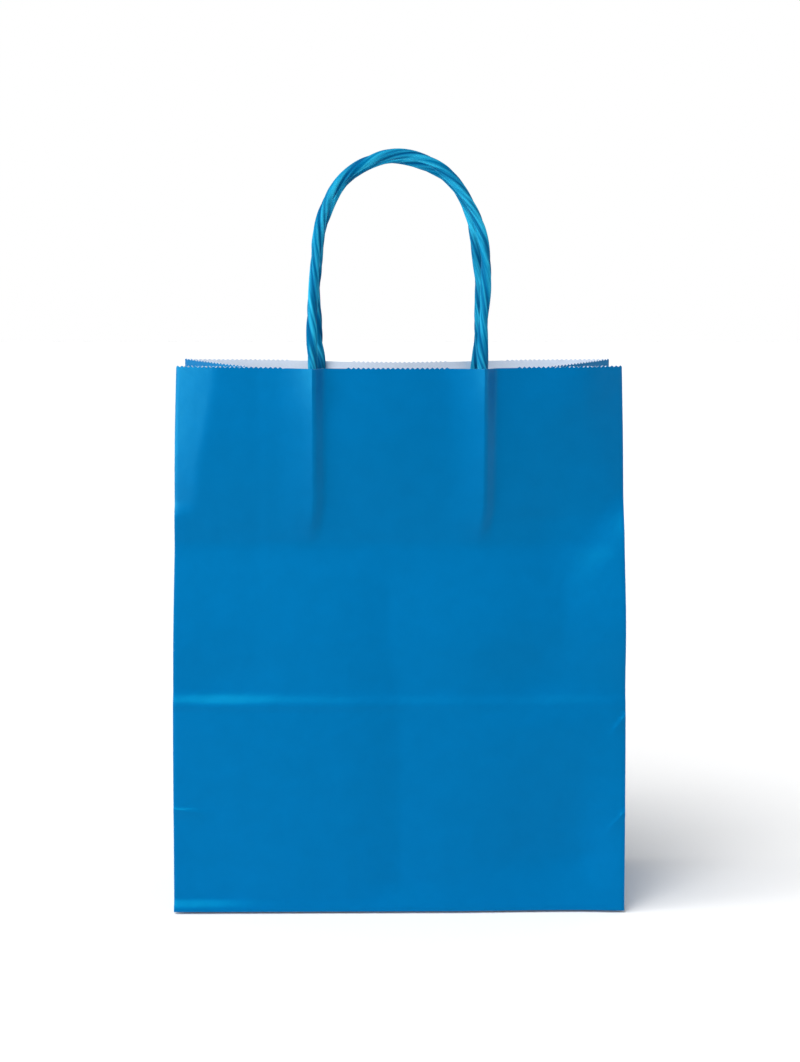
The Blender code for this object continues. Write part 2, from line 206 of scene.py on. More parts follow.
def cord_ridges(a, u):
    """The wall tented over the pressed cord ends, with a long left and a steep right flank."""
    foot = (SHEET_HEIGHT - END_LENGTH) / MM
    total = 0
    for ridge, share in zip(RIDGES, RIDGE_SHARES):
        crest = ridge / MM - 1.8 * (1 - rise(u, 146, 166))
        flanks = np.where(a < crest, tent(a, crest, 15, 15, 1.7), hump(a, crest, 5.8))
        total = total + share * flanks
    height = 1.5 + 0.9 * rise(u, 158, 190) + 1.6 * rise(u, 190, 216)
    return height * total * rise(u, foot - 12, foot + 4)


def patch_and_fold(a, u):
    """The dip along the patch's lower edge, the belly under it, the fold mark and the foot."""
    left = 1 - rise(a, -60, 50)
    far_left = 1 - rise(a, -84, -40)
    dip = tent(u, 146, 62 + 14 * left, 48, np.where(u > 146, 1.5, 1.6))
    dip = -(5.6 + 1.6 * left) * dip * (1 - 0.45 * rise(a, 56, 88))
    belly = 0.6 * hump(u, 116, 30, 34)
    over_fold = -0.6 * hump(u, 88, 5, 24)
    fold = (0.13 + 0.40 * left) * hump(u, BASE_DEPTH / MM + 0.3, 3.4, 5.5)
    foot = -(0.26 + 1.55 * far_left) * rise(u, 1.1, 5.6) * (1 - rise(u, 20, 80))
    return dip + belly + over_fold + fold + foot


def bellies_and_dents(a, u):
    """Where slack paper stands out or sinks in, beside the cords and over the fold mark."""
    left_belly = 2.6 * (1 - rise(a, -60, -18)) * rise(u, 82, 188)
    centre_belly = 1.4 * hump(a, -12, 30, 44) * rise(u, 156, 194)
    left_dent = -1.0 * hump(a, -72, 30) * hump(u, 89, 7, 26)
    right_dent = -2.3 * hump(a, 56, 36) * hump(u, 94, 22, 30)
    right_slack = -1.2 * hump(a, 62, 26, 22) * tent(u, 157, 14, 42, 1.4)
    right_top = 1.4 * hump(a, 70, 32, 20) * rise(u, 186, 212)
    return left_belly + centre_belly + left_dent + right_dent + right_slack + right_top


def right_flare(a, u):
    """The right edge standing out, up to a slanting line under the gusset's pinch."""
    top = 164 - 0.9 * (90 - a)
    return 5.2 * tent(a, 90, 25, 25, 1.2) * rise(u, 84, 124) * (1 - rise(u, top - 18, top + 6))


def lower_folds(a, u):
    """A soft upright fold below the middle, and the hollow of the lower right corner."""
    line = -0.5 - 4 * rise(u, 84, 110)
    upright = -1.6 * tent(a - line, 0, 20, 42, 1.3) * rise(u, 1, 12) * (1 - rise(u, 120, 150))
    hollow = -4.4 * hump(a, 70, 56, 22) * (0.25 + 0.75 * rise(u, 0, 24)) * (1 - rise(u, 10, 84))
    return upright + hollow


def mouth_curl(a, u):
    """The cut edge curling in, most of all to the right of the right cord."""
    deep = 0.9 + 1.6 * hump(a, 52, 20, 26) - 0.8 * rise(a, 64, 84)
    return -deep * rise(u, 200, SHEET_HEIGHT / MM + 4)


def storage_creases(across, up):
    """Short ticks pressed into the wall at its side edges while the bag lay flat."""
    total = 0
    for (a0, u0), (a1, u1) in STORAGE_CREASES:
        run, climb = a1 - a0, u1 - u0
        length = math.hypot(run, climb)
        on = ((across - a0) * run + (up - u0) * climb) / length
        off = math.copysign(1, run) * ((across - a0) * climb - (up - u0) * run) / length
        there = (on > -1 * MM) & (on < length)
        fading = 1 - rise(on, 0.3 * length, length)
        total = total + there * tent(off, 0, TICK_STEEP, TICK_EASY, 1) * fading
    return TICK_HEIGHT * total


def left_edge_flat(across, up):
    """Takes the roll out of the left edge, up to the facet over the gusset's pinch."""
    facet = 9 * MM * rise(up, 157.5 * MM, 164 * MM) + 8 * MM * rise(up, 164 * MM, SHEET_HEIGHT)
    share = np.minimum(-across, HALF_WIDTH - facet) / HALF_WIDTH
    start = 0.62
    kept = start**EDGE_ROLL + 0.25 * EDGE_ROLL * start ** (EDGE_ROLL - 1) * (share - start)
    taken = np.where(share > start, np.maximum(share, 0) ** EDGE_ROLL - kept, 0)
    grown = (np.maximum(up, 0) / SHEET_HEIGHT) ** LEAN_GROWTH
    flat = (CORNER_LEAN + FRONT_BULGE) * grown * taken * rise(up, 60 * MM, 110 * MM)
    return flat - 0.08 * np.maximum(-across - (HALF_WIDTH - facet), 0)


def front_relief(across, up):
    """How far places of the front wall stand out of its plain curve."""
    forms = (cord_ridges, patch_and_fold, bellies_and_dents, right_flare, lower_folds, mouth_curl)
    soft = sum(form(across / MM, up / MM) for form in forms)
    return soft * MM + left_edge_flat(across, up) + storage_creases(across, up)


def back_relief(across, up):
    """The same for the back wall, with the step of the glued seam."""
    fold = 0.20 * MM * hump(up, BASE_DEPTH, 6 * MM)
    under_patch = -0.6 * MM * hump(up, 150 * MM, 28 * MM)
    waves = 0.3 * MM * np.sin(across / (21 * MM) + 0.7) * hump(up, 105 * MM, 70 * MM)
    seam = SEAM_STEP * rise(across, SEAM_EDGE - 0.3 * MM, SEAM_EDGE)
    foot = SHEET_HEIGHT - END_LENGTH - 6 * MM
    ridge = sum(hump(across, centre, 8 * MM) for centre in BACK_RIDGES)
    ridge = 1.0 * MM * ridge * rise(up, foot, foot + 9 * MM)
    return ridge + fold + under_patch + waves + seam


def crease_x(up):
    """Distance of a gusset's centre crease from the middle plane."""
    edge = wall_place(FRONT, HALF_WIDTH, up)[..., 0]
    edge = (edge + wall_place(BACK, HALF_WIDTH, up)[..., 0]) / 2
    half_open = HALF_DEPTH - lean_in(FRONT, HALF_WIDTH, up)
    return edge - np.sqrt(HALF_DEPTH**2 - half_open**2)


def crease_place(up):
    """A place on the centre line of the +X gusset."""
    up = np.asarray(up, float)
    apex_x = float(crease_x(HALF_DEPTH))
    apex_z = BASE_LEVEL + math.sqrt(HALF_DEPTH**2 - (HALF_WIDTH - apex_x) ** 2)
    low = np.clip(up / HALF_DEPTH, 0, 1)
    high = np.maximum(up, HALF_DEPTH)
    x_high = crease_x(high)
    z_high = apex_z + np.sqrt((high - HALF_DEPTH) ** 2 - (apex_x - x_high) ** 2)
    x = np.where(up < HALF_DEPTH, HALF_WIDTH + (apex_x - HALF_WIDTH) * low, x_high)
    z = np.where(up < HALF_DEPTH, BASE_LEVEL + (apex_z - BASE_LEVEL) * low, z_high)
    return np.stack([x, np.zeros_like(x), z], -1)


def blend(start, end, share):
    return start + (end - start) * np.clip(share, 0, 1)[..., None]


def gusset_place(hand, side, inward, up):
    """A place on one half of a gusset, hand +1 at +X and -1 at -X."""
    relief = front_relief if side == FRONT else back_relief
    edge = wall_place(side, HALF_WIDTH, up, relief(hand * HALF_WIDTH, up))
    middle = crease_place(up)
    base_corner = np.array([HALF_WIDTH, side * HALF_DEPTH, BASE_LEVEL])
    apex = crease_place(HALF_DEPTH)
    on_diagonal = blend(base_corner, apex, up / HALF_DEPTH)
    tiny = 1e-9
    outer = blend(edge, on_diagonal, inward / np.maximum(up, tiny))
    inner = blend(on_diagonal, middle, (inward - up) / np.maximum(HALF_DEPTH - up, tiny))
    folded_part = np.where((inward <= up)[..., None], outer, inner)
    plain = blend(edge, middle, inward / HALF_DEPTH)
    place = np.where(((up >= HALF_DEPTH) | (up <= 0))[..., None], plain, folded_part)
    soft = hump(inward, HALF_DEPTH / 2, HALF_DEPTH / 2) * rise(up, 45 * MM, 120 * MM)
    place[..., 0] += WAVE_HEIGHT * soft * np.sin(up / WAVE_LENGTH + side)
    place[..., 0] *= hand
    return place


def sheet_place(along, up):
    """Where a place on the flat sheet comes to stand, with sharp folds."""
    along = np.mod(along, SHEET_LENGTH)
    up = np.asarray(up, float) + np.zeros_like(along)
    place = np.zeros(along.shape + (3,))
    panels = (
        lambda a, u: gusset_place(-1, BACK, a, u),
        lambda a, u: gusset_place(-1, FRONT, HALF_DEPTH - a, u),
        lambda a, u: wall_place(FRONT, a - HALF_WIDTH, u, front_relief(a - HALF_WIDTH, u)),
        lambda a, u: gusset_place(1, FRONT, a, u),
        lambda a, u: gusset_place(1, BACK, HALF_DEPTH - a, u),
        lambda a, u: wall_place(BACK, HALF_WIDTH - a, u, back_relief(HALF_WIDTH - a, u)),
    )
    for start, end, panel in zip(FOLDS, FOLDS[1:], panels):
        here = (along >= start) & (along <= end)
        if here.any():
            place[here] = panel(along[here] - start, up[here])
    return place


def arc(before, corner, after, share):
    """A small round bend through three places."""
    share = share[..., None]
    return (1 - share) ** 2 * before + 2 * share * (1 - share) * corner + share**2 * after


def rounded_place(along, up):
    """The same with its upright folds rounded."""
    place = sheet_place(along, up)
    for fold in FOLDS:
        near = np.abs(along - fold) < FOLD_ROUND
        if near.any():
            share = (along[near] - fold) / (2 * FOLD_ROUND) + 0.5
            at = np.full(share.shape, fold)
            before = sheet_place(at - FOLD_ROUND, up[near])
            after = sheet_place(at + FOLD_ROUND, up[near])
            place[near] = arc(before, sheet_place(at, up[near]), after, share)
    return place


def standing_place(along, up):
    """The same with its foot turned under the base."""
    place = rounded_place(along, up)
    foot = up < FOLD_ROUND
    at = along[foot]
    corner = rounded_place(at, np.zeros_like(at))
    above = rounded_place(at, np.full_like(at, FOLD_ROUND))
    # Walls turn in along y, gussets along x, and the corners both ways
    outline = np.array([HALF_WIDTH - 0.1 * MM, HALF_DEPTH - 3 * MM, 1])
    inwards = -np.sign(corner) * (np.abs(corner) > outline)
    under = corner + FOLD_ROUND * inwards
    place[foot] = arc(above, corner, under, (FOLD_ROUND - up[foot]) / (2 * FOLD_ROUND))
    return place + np.array([0, SHIFT, 0])


def cut_height(along):
    """Height of the cut mouth on the flat sheet."""
    panel = np.clip(np.searchsorted(FOLDS, along, side="right") - 1, 0, 5)
    wall = (panel == 2) | (panel == 5)
    start, end = FOLDS[panel], FOLDS[panel + 1]
    pitch = (end - start) / np.array(PANEL_TEETH)[panel]
    tooth = TOOTH_DEPTH * np.abs(2 * np.mod((along - start) / pitch, 1) - 1)
    across = np.where(wall, along - (start + end) / 2, 0)
    straight = sum((across > start) & (across < end) for start, end in STRAIGHT_CUTS) > 0
    dip = np.where(wall, MOUTH_DIP * (1 - (across / HALF_WIDTH) ** 2), 0)
    return SHEET_HEIGHT - dip - np.where(straight, STRAIGHT_DROP, tooth)


# Mesh work


def coordinates(mesh):
    found = np.empty(len(mesh.vertices) * 3)
    mesh.vertices.foreach_get("co", found)
    return found.reshape(-1, 3)


def set_coordinates(mesh, places):
    mesh.vertices.foreach_set("co", np.ascontiguousarray(places, float).ravel())
    mesh.update()


def choose(obj, kind, test):
    """Selects in edit mode the vertices, edges or faces whose corners all pass the test."""
    bpy.context.view_layer.objects.active = obj
    bpy.ops.object.mode_set(mode="EDIT")
    bpy.ops.mesh.select_mode(type=kind)
    bpy.ops.mesh.select_all(action="DESELECT")
    bpy.ops.object.mode_set(mode="OBJECT")
    passed = test(coordinates(obj.data))
    parts = {"VERT": obj.data.vertices, "EDGE": obj.data.edges, "FACE": obj.data.polygons}[kind]
    for part in parts:
        corners = [part.index] if kind == "VERT" else part.vertices
        part.select = all(passed[corner] for corner in corners)
    bpy.ops.object.mode_set(mode="EDIT")


def laid_grid(name, columns, rows):
    """A flat grid with its lines at these places, as (column, row, 0)."""
    bpy.ops.mesh.primitive_grid_add(
        x_subdivisions=len(columns) - 1, y_subdivisions=len(rows) - 1, size=1
    )
    grid = bpy.context.object
    grid.name = grid.data.name = name
    places = coordinates(grid.data)
    i = np.rint((places[:, 0] + 0.5) * (len(columns) - 1)).astype(int)
    j = np.rint((places[:, 1] + 0.5) * (len(rows) - 1)).astype(int)
    flat = np.stack([np.asarray(columns)[i], np.asarray(rows)[j], np.zeros(len(i))], 1)
    set_coordinates(grid.data, flat)
    return grid


def map_flat(obj, name, flat):
    """Keeps the flat layout as the piece's UV map, in metres."""
    layer = obj.data.uv_layers.active or obj.data.uv_layers.new()
    layer.name = name
    corners = np.empty(len(obj.data.loops), int)
    obj.data.loops.foreach_get("vertex_index", corners)
    layer.data.foreach_set("uv", np.ascontiguousarray(flat[corners, :2], float).ravel())


def apply_modifier(obj, kind, **settings):
    bpy.context.view_layer.objects.active = obj
    modifier = obj.modifiers.new(kind.lower(), kind)
    for key, value in settings.items():
        setattr(modifier, key, value)
    bpy.ops.object.modifier_apply(modifier=modifier.name)


def tidy_mesh(obj, angle=35):
    """Merges doubles and shades smooth up to an angle."""
    bpy.ops.object.select_all(action="DESELECT")
    obj.select_set(True)
    bpy.context.view_layer.objects.active = obj
    bpy.ops.object.mode_set(mode="EDIT")
    bpy.ops.mesh.select_all(action="SELECT")
    bpy.ops.mesh.remove_doubles(threshold=0.01 * MM)
    bpy.ops.object.mode_set(mode="OBJECT")
    bpy.ops.object.shade_smooth_by_angle(angle=math.radians(angle))
    bpy.ops.object.select_all(action="DESELECT")


def place_piece(piece, node):
    """Lets a finished piece stand for its node: hangs it under the root and hides the node's CAD
    part.
    """
    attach(piece, "root")
    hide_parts(node)


# Materials

# The Mix node's sockets, which have to be named by number
MIX_SHARE, VALUE_A, VALUE_B, COLOUR_A, COLOUR_B = 0, 2, 3, 6, 7
MIXED_VALUE, MIXED_COLOUR = 0, 2


def linear(hex_colour):
    """An sRGB hex value as the linear colour that a shader takes."""
    parts = [int(hex_colour[i : i + 2], 16) / 255 for i in (1, 3, 5)]
    return (*(p / 12.92 if p <= 0.04045 else ((p + 0.055) / 1.055) ** 2.4 for p in parts), 1.0)


def add(tree, kind, inputs=None, **settings):
    """Adds a node with its settings, and its inputs as values or links."""
    node = tree.nodes.new(kind)
    for key, value in settings.items():
        setattr(node, key, value)
    for key, value in (inputs or {}).items():
        if isinstance(value, bpy.types.NodeSocket):
            tree.links.new(value, node.inputs[key])
        else:
            node.inputs[key].default_value = value
    return node


def new_material(name, roughness, specular):
    material = bpy.data.materials.new(name)
    material.use_nodes = True
    shader = material.node_tree.nodes["Principled BSDF"]
    shader.inputs["Roughness"].default_value = roughness
    shader.inputs["Specular IOR Level"].default_value = specular
    shader.inputs["IOR"].default_value = 1.5
    return material, material.node_tree, shader


def printed_kraft_paper():
    """Bleached kraft paper, flexo printed: an even blue with a dull satin shine and a cloudy
    trace of the web, fibres that the ink only half hides, and paler worn lines on the folds."""
    material, tree, shader = new_material("printed_kraft_paper", 0.44, 0.8)
    shader.inputs["Specular Tint"].default_value = linear("#08E6FF")
    flat = add(tree, "ShaderNodeUVMap", uv_map="flat_sheet").outputs["UV"]
    cloud = add(
        tree, "ShaderNodeTexNoise", {"Vector": flat, "Scale": 1 / (9 * MM), "Detail": 3.0}
    )
    # Fibres are 0.03 mm wide and 2 mm long; drawn 0.3 mm wide so that they show
    laid = add(tree, "ShaderNodeMapping", {"Vector": flat, "Scale": (1.0, 0.3, 1.0)})
    fibres = add(
        tree,
        "ShaderNodeTexNoise",
        {
            "Vector": laid.outputs["Vector"],
            "Scale": 1 / (0.35 * MM),
            "Detail": 3.0,
            "Distortion": 0.6,
        },
    )
    cockle = add(
        tree, "ShaderNodeTexNoise", {"Vector": flat, "Scale": 1 / (5 * MM), "Detail": 2.0}
    )
    share = add(
        tree,
        "ShaderNodeMix",
        {MIX_SHARE: 0.3, VALUE_A: cloud.outputs["Fac"], VALUE_B: fibres.outputs["Fac"]},
    )
    ink = add(tree, "ShaderNodeValToRGB", {"Fac": share.outputs[MIXED_VALUE]})
    ink.color_ramp.elements[0].position = 0.30
    ink.color_ramp.elements[0].color = linear("#005895")
    ink.color_ramp.elements[1].position = 0.70
    ink.color_ramp.elements[1].color = linear("#005C9B")
    wear = add(tree, "ShaderNodeAttribute", attribute_name="fold_wear").outputs["Fac"]
    worn = add(
        tree, "ShaderNodeMath", {0: wear, 1: fibres.outputs["Fac"]}, operation="MULTIPLY"
    )
    worn = add(tree, "ShaderNodeMath", {0: worn.outputs[0], 1: 0.35}, operation="MULTIPLY")
    colour = add(
        tree,
        "ShaderNodeMix",
        {MIX_SHARE: worn.outputs[0], COLOUR_A: ink.outputs["Color"], COLOUR_B: linear("#6FB4DC")},
        data_type="RGBA",
    )
    tree.links.new(colour.outputs[MIXED_COLOUR], shader.inputs["Base Color"])
    fine = add(
        tree,
        "ShaderNodeBump",
        {"Height": fibres.outputs["Fac"], "Strength": 0.12, "Distance": 0.02 * MM},
    )
    soft = add(
        tree,
        "ShaderNodeBump",
        {
            "Height": cockle.outputs["Fac"],
            "Strength": 0.7,
            "Distance": 0.22 * MM,
            "Normal": fine.outputs["Normal"],
        },
    )
    tree.links.new(soft.outputs["Normal"], shader.inputs["Normal"])
    return material


def unprinted_kraft_paper():
    """The same bleached kraft paper, bare: soft white, a little cold, fibres just visible."""
    material, tree, shader = new_material("unprinted_kraft_paper", 0.75, 0.2)
    place = add(tree, "ShaderNodeTexCoord").outputs["Object"]
    fibres = add(
        tree,
        "ShaderNodeTexNoise",
        {"Vector": place, "Scale": 1 / (0.5 * MM), "Detail": 4.0, "Distortion": 0.8},
    )
    tone = add(tree, "ShaderNodeValToRGB", {"Fac": fibres.outputs["Fac"]})
    tone.color_ramp.elements[0].position = 0.25
    tone.color_ramp.elements[0].color = linear("#DFEBFA")
    tone.color_ramp.elements[1].position = 0.75
    tone.color_ramp.elements[1].color = linear("#E9F3FF")
    tree.links.new(tone.outputs["Color"], shader.inputs["Base Color"])
    bump = add(
        tree,
        "ShaderNodeBump",
        {"Height": fibres.outputs["Fac"], "Strength": 0.3, "Distance": 0.03 * MM},
    )
    tree.links.new(bump.outputs["Normal"], shader.inputs["Normal"])
    return material


def twisted_paper_cord():
    """Dyed paper strip, rolled and twisted: dull, streaked along the strands with painted sheen
    at the streaks' light end, and with painted shade darkening the creases."""
    material, tree, shader = new_material("twisted_paper_cord", 0.7, 0.08)
    shader.inputs["Specular Tint"].default_value = linear("#50ECFF")
    flat = add(tree, "ShaderNodeUVMap", uv_map="strand").outputs["UV"]
    laid = add(tree, "ShaderNodeMapping", {"Vector": flat, "Scale": (1.0, 0.07, 1.0)})
    streaks_and_painted_sheen = add(
        tree,
        "ShaderNodeTexNoise",
        {
            "Vector": laid.outputs["Vector"],
            "Scale": 1 / (1.5 * MM),
            "Detail": 3.0,
            "Distortion": 0.5,
        },
    )
    depth = add(tree, "ShaderNodeAttribute", attribute_name="crease").outputs["Fac"]
    # Streaks along the strands, partly uneven dye and partly painted sheen: the light end #2CB0D8
    # stands in for satin highlights
    tone = add(tree, "ShaderNodeValToRGB", {"Fac": streaks_and_painted_sheen.outputs["Fac"]})
    tone.color_ramp.elements[0].position = 0.36
    tone.color_ramp.elements[0].color = linear("#006A9A")
    tone.color_ramp.elements[1].position = 0.64
    tone.color_ramp.elements[1].color = linear("#2CB0D8")
    # Painted shade: the deeper a place lies in a pleat or in the groove between the strands, the
    # nearer its colour is to dark #004E80
    colour = add(
        tree,
        "ShaderNodeMix",
        {MIX_SHARE: depth, COLOUR_A: tone.outputs["Color"], COLOUR_B: linear("#004E80")},
        data_type="RGBA",
    )
    tree.links.new(colour.outputs[MIXED_COLOUR], shader.inputs["Base Color"])
    bump = add(
        tree,
        "ShaderNodeBump",
        {"Height": streaks_and_painted_sheen.outputs["Fac"], "Strength": 1.0, "Distance": 0.16 * MM},
    )
    tree.links.new(bump.outputs["Normal"], shader.inputs["Normal"])
    return material


# The bag's sheet


def sheet_columns():
    """Column places: one for each tooth, and one beside each fold for its bend."""
    columns = [
        np.linspace(start, end, cells, endpoint=False)
        for start, end, cells in zip(FOLDS, FOLDS[1:], PANEL_TEETH)
    ]
    beside = [FOLDS[:-1] + BESIDE_FOLD, FOLDS[1:] - BESIDE_FOLD]
    over_cords = [FOLDS[2] + HALF_WIDTH + r + np.arange(-4.0, 8.0, 0.8) * MM for r in RIDGES]
    seam = [FOLDS[5] + HALF_WIDTH - np.array([SEAM_EDGE, SEAM_EDGE - 0.4 * MM])]
    return np.sort(np.concatenate([*columns, [SHEET_LENGTH], *beside, *seam, *over_cords]))


def sheet_rows():
    """Row heights: squares up to the gusset's apex, finer over the storage fold."""
    foot = np.array([-0.5, -0.2, 0, 0.25, 0.5, 0.9, 1.4, 2.5, 3.1, 4.5, 5.1, 6.6]) * MM
    low = np.linspace(0, HALF_DEPTH, 23)[1:]
    stretches = [
        np.linspace(HALF_DEPTH, 77 * MM, 18)[1:],
        np.linspace(77 * MM, 90 * MM, 14)[1:],
        np.linspace(90 * MM, 149 * MM, 25)[1:],
        np.linspace(149 * MM, 160 * MM, 8)[1:],
        np.linspace(160 * MM, SHEET_HEIGHT - 2 * MM, 25)[1:],
        [SHEET_HEIGHT],
    ]
    return np.sort(np.concatenate([foot, low, *stretches]))


def cut_creases(sheet):
    """Cuts the 45 degree creases across the lower gussets of the flat sheet."""
    for fold, turn in ((FOLDS[0], 1), (FOLDS[2], -1), (FOLDS[3], 1), (FOLDS[5], -1)):
        low, high = sorted((fold, fold + turn * HALF_DEPTH))
        choose(
            sheet,
            "FACE",
            lambda p: (p[:, 0] > low - 1e-6)
            & (p[:, 0] < high + 1e-6)
            & (p[:, 1] > -1e-6)
            & (p[:, 1] < HALF_DEPTH + 1e-6),
        )
        bpy.ops.mesh.bisect(
            plane_co=(fold, 0, 0), plane_no=(-turn, 1, 0), threshold=0.002 * MM
        )
        bpy.ops.object.mode_set(mode="OBJECT")


def cut_storage_creases(sheet):
    """Cuts the ticks at the side edges, each with a line along either flank."""
    middle = FOLDS[2] + HALF_WIDTH
    for (a0, u0), (a1, u1) in STORAGE_CREASES:
        low = np.array([middle + min(a0, a1), min(u0, u1)]) - 1.5 * MM
        high = np.array([middle + max(a0, a1), max(u0, u1)]) + 1.5 * MM
        low[0], high[0] = max(low[0], FOLDS[2] - 1e-6), min(high[0], FOLDS[3] + 1e-6)
        across = math.copysign(1, a1 - a0) * Vector((u1 - u0, a0 - a1, 0)).normalized()
        for off in (-TICK_STEEP, 0, TICK_STEEP):
            choose(
                sheet,
                "FACE",
                lambda p: np.all((p[:, :2] > low - 2 * MM) & (p[:, :2] < high + 2 * MM), 1),
            )
            place = Vector((middle + a0, u0, 0)) + off * across
            bpy.ops.mesh.bisect(plane_co=place, plane_no=across, threshold=0.002 * MM)
            bpy.ops.object.mode_set(mode="OBJECT")


def serrate_top(sheet):
    """Gives the top edge a place between each two columns, for the teeth."""
    top = SHEET_HEIGHT - 1e-6
    choose(sheet, "EDGE", lambda p: p[:, 1] > top)
    bpy.ops.mesh.subdivide(number_cuts=1)
    bpy.ops.object.mode_set(mode="OBJECT")
    places = coordinates(sheet.data)
    cut = places[:, 1] > top
    along = places[cut, 0]
    panel = np.clip(np.searchsorted(FOLDS, along, side="right") - 1, 0, 5)
    pitch = (FOLDS[panel + 1] - FOLDS[panel]) / np.array(PANEL_TEETH)[panel]
    # What lies close to a tooth's tip or root moves onto it, away from folds and cords
    half = np.rint((along - FOLDS[panel]) / (pitch / 2)) * pitch / 2 + FOLDS[panel]
    moved = np.abs(half - along) < 0.3 * MM
    beside_fold = np.min(np.abs(along[:, None] - FOLDS[None, :]), axis=1) < 0.6 * MM
    from_cords = np.abs(along[:, None] - FOLDS[2] - HALF_WIDTH - np.array(RIDGES)[None, :])
    over_cord = np.min(from_cords, axis=1) < 9 * MM
    along = np.where(moved & ~beside_fold & ~over_cord, half, along)
    places[cut, 0] = along
    places[cut, 1] = cut_height(along)
    set_coordinates(sheet.data, places)


def make_sheet():
    sheet = laid_grid("bag_paper", sheet_columns(), sheet_rows())
    cut_creases(sheet)
    cut_storage_creases(sheet)
    serrate_top(sheet)
    flat = coordinates(sheet.data)
    map_flat(sheet, "flat_sheet", flat)
    wear = sheet.data.attributes.new("fold_wear", "FLOAT", "POINT")
    off = np.min(np.abs(flat[:, 0, None] - FOLDS[None, :]), axis=1)
    wear.data.foreach_set("value", np.clip(1 - off / (0.4 * MM), 0, 1))
    set_coordinates(sheet.data, standing_place(flat[:, 0], flat[:, 1]))
    tidy_mesh(sheet)
    return sheet


def foot_depth(side, across):
    """Distance of a wall's foot from the middle plane."""
    return HALF_DEPTH + (front_relief if side == FRONT else back_relief)(across, 0.0)


def make_flap(name, side, level):
    """A flap of the bottom, from its fold at one wall to past the middle, with 45 degree ends."""
    hinge = HALF_DEPTH - FLAP_INSET
    flap = laid_grid(name, np.linspace(-0.5, 0.5, 31), np.linspace(0, 1, 27))
    places = coordinates(flap.data)
    from_hinge = (hinge + FLAP_PAST_MIDDLE) * places[:, 1] ** 1.5
    places[:, 0] *= BAG_WIDTH - FLAP_INSET - 2 * from_hinge
    turned_up = 1 - rise(from_hinge, 0, TURN_UP)
    follow = (foot_depth(side, places[:, 0]) - HALF_DEPTH) * turned_up
    places[:, 1] = side * (hinge - from_hinge + follow) + SHIFT
    edge = np.minimum(from_hinge, HALF_WIDTH - np.abs(places[:, 0]))
    places[:, 2] = level + (BASE_LEVEL - FLAP_LEVELS[0]) * (1 - rise(edge, 0, TURN_UP))
    set_coordinates(flap.data, places)
    choose(flap, "FACE", lambda p: p[:, 2] > -1)
    bpy.ops.mesh.extrude_region_move(TRANSFORM_OT_translate={"value": (0, 0, FLAP_THICKNESS)})
    bpy.ops.mesh.select_all(action="SELECT")
    bpy.ops.mesh.normals_make_consistent(inside=False)
    bpy.ops.object.mode_set(mode="OBJECT")
    map_flat(flap, "flat_sheet", coordinates(flap.data))
    flap.data.attributes.new("fold_wear", "FLOAT", "POINT")
    return flap


def make_floor_of_bag():
    """The inside of the bottom: end triangles a paper's thickness over the folded flaps."""
    rows = np.linspace(FLOOR_INSET - HALF_DEPTH, HALF_DEPTH - FLOOR_INSET, 60)
    over_triangle = HALF_WIDTH - FLOOR_INSET - (rows[1] - rows[0]) * np.arange(32)
    middle = np.linspace(-over_triangle[-1], over_triangle[-1], 21)[1:-1]
    columns = np.concatenate([-over_triangle, middle, over_triangle[::-1]])
    inside = laid_grid("bag_floor", columns, rows)
    places = coordinates(inside.data)
    x, y = np.abs(places[:, 0]), places[:, 1]
    from_wall, from_gusset = HALF_DEPTH - np.abs(y), HALF_WIDTH - x
    triangle = TRIANGLE_STEP * rise(from_wall - from_gusset, -0.8 * MM, 0.2 * MM)
    lap = LAP_STEP * rise(y, FLAP_PAST_MIDDLE - 1 * MM, FLAP_PAST_MIDDLE)
    edge = EDGE_LIFT * (1 - rise(np.minimum(from_wall, from_gusset), 0, TURN_UP))
    sag = 0.25 * MM * np.cos(places[:, 0] / (25 * MM)) * np.cos(y / (19 * MM))
    map_flat(inside, "flat_sheet", places)
    places[:, 2] = FLOOR_LEVEL + triangle + lap + edge + sag
    for side in (FRONT, BACK):
        here = places[:, 1] * side > 0
        places[here, 1] *= foot_depth(side, places[here, 0]) / HALF_DEPTH
    places[:, 1] += SHIFT
    set_coordinates(inside.data, places)
    inside.data.attributes.new("fold_wear", "FLOAT", "POINT")
    apply_modifier(inside, "SOLIDIFY", thickness=PAPER, offset=-1)
    return inside


def make_bag(blue, white):
    """The sheet with its thickness, its flaps and the inside of its bottom, as one piece."""
    bag = make_sheet()
    for material in (blue, white):
        bag.data.materials.append(material)
    apply_modifier(
        bag,
        "SOLIDIFY",
        thickness=PAPER,
        offset=-1,
        use_even_offset=True,
        material_offset=1,
        material_offset_rim=1,
    )
    flaps = [
        make_flap("front_flap", FRONT, FLAP_LEVELS[0]),
        make_flap("back_flap", BACK, FLAP_LEVELS[1]),
    ]
    inside = make_floor_of_bag()
    for part in flaps:
        part.data.materials.append(blue)
    inside.data.materials.append(white)
    bpy.ops.object.select_all(action="DESELECT")
    for part in (*flaps, inside, bag):
        part.select_set(True)
    bpy.context.view_layer.objects.active = bag
    bpy.ops.object.join()
    tidy_mesh(bag)
    place_piece(bag, "bag_body")


# The twisted cords. Their routes from the mouth up and over, as (x, z) in millimetres.

